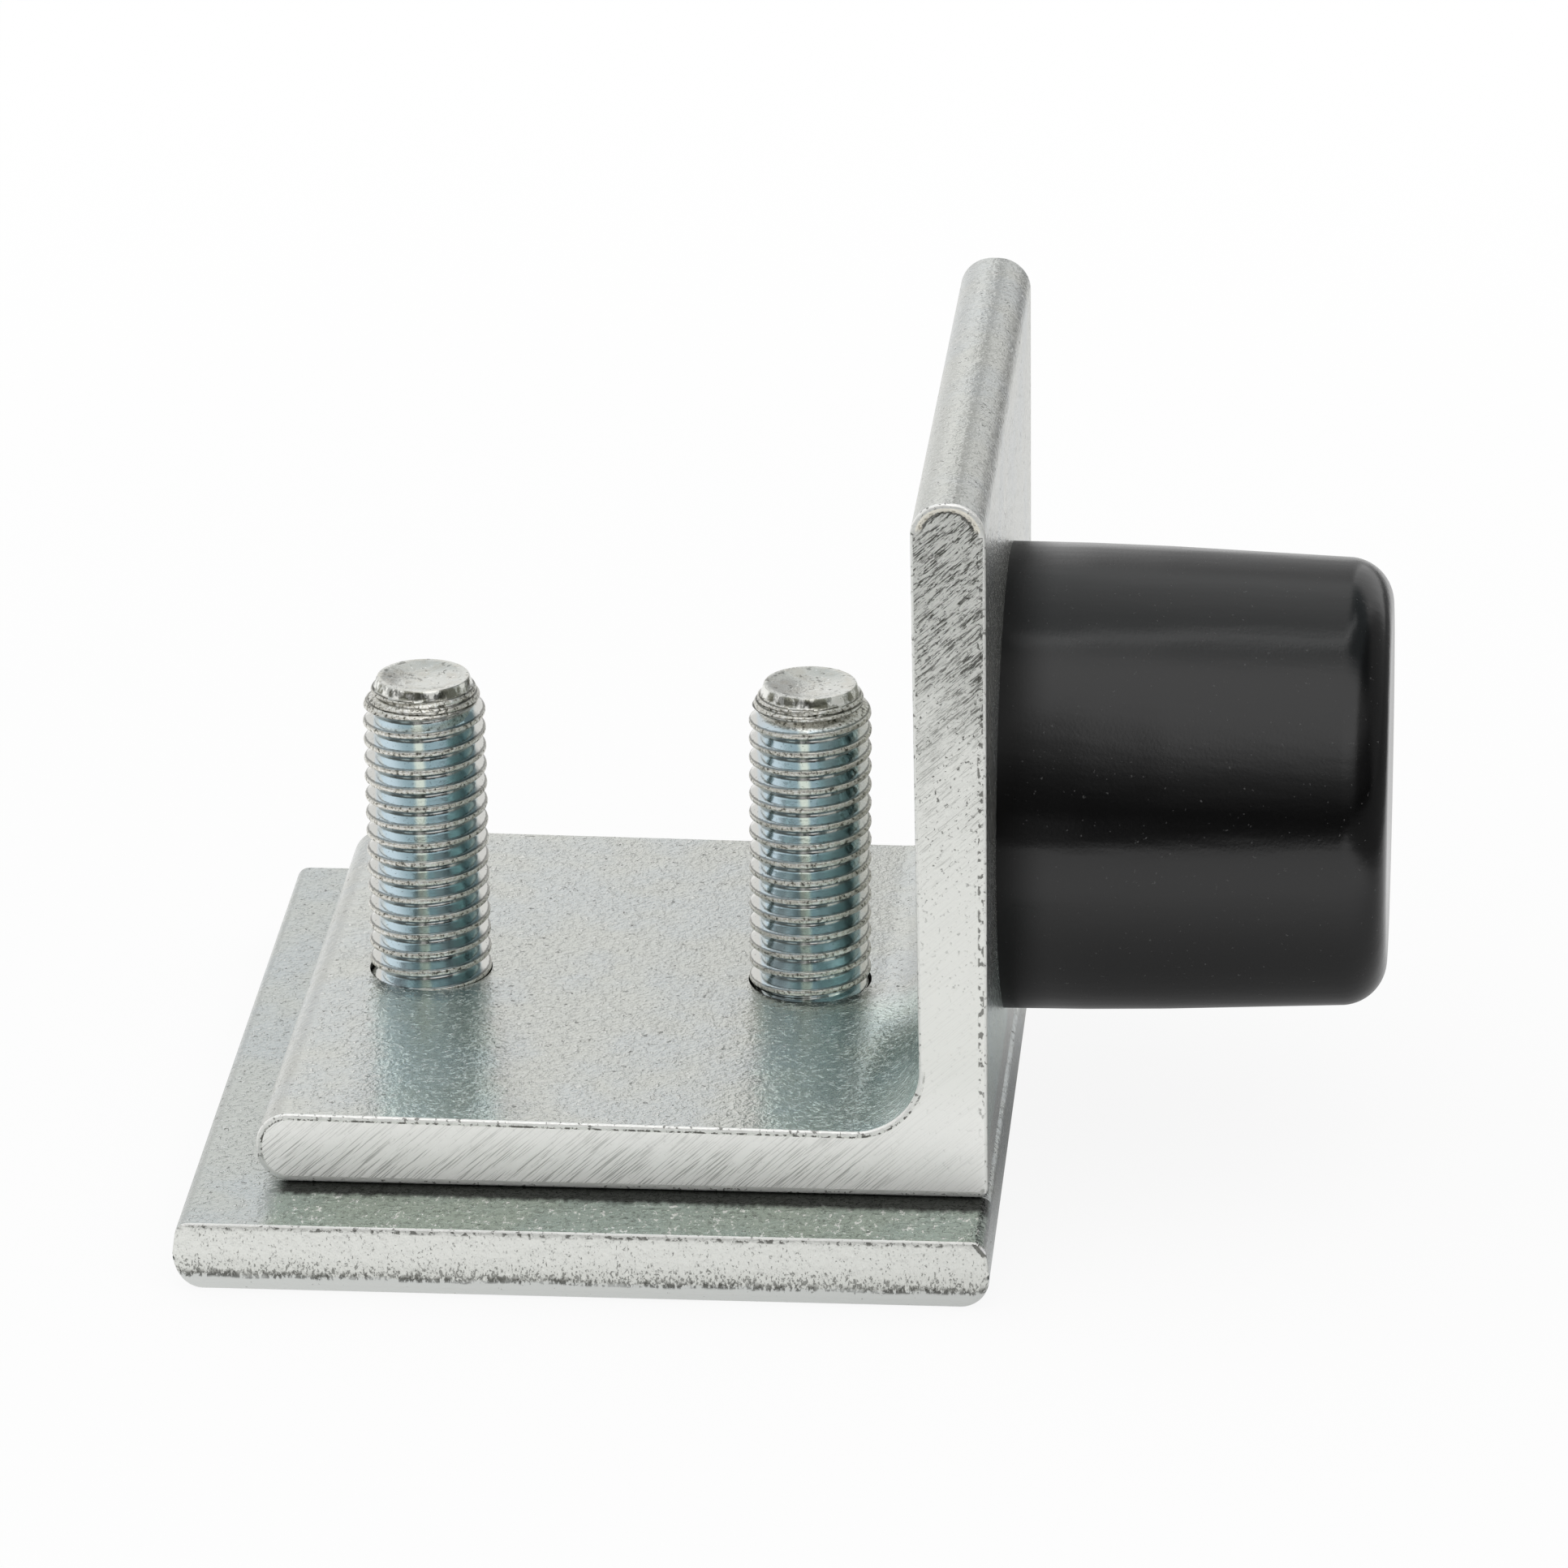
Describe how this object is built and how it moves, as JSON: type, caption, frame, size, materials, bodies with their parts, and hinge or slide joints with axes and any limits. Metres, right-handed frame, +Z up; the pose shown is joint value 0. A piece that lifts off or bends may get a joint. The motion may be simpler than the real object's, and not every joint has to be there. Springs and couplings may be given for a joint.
{
  "type": "sliding gate stop",
  "caption": "Clamp-on end stop for a sliding gate rail: steel angle on a base plate with threaded studs, and a round rubber buffer on its upright leg.",
  "frame": {"origin": "middle of the base plate's underside", "axes": "+Z up along the studs, +X the way the buffer points, +Y along the sawn length of the angle, away from the front view"},
  "size_m": [0.0741, 0.058, 0.0499],
  "materials": {
    "zinc_steel": "zinc plated, dull grey with fine speckle",
    "black_rubber": "black moulded rubber, satin"
  },
  "bodies": {
    "root": {"base_plate": "zinc_steel", "stop_angle": "zinc_steel", "stud_left": "zinc_steel", "stud_right": "zinc_steel", "buffer": "black_rubber", "buffer_insert": "zinc_steel", "buffer_screw": "zinc_steel"}
  },
  "joints": []
}
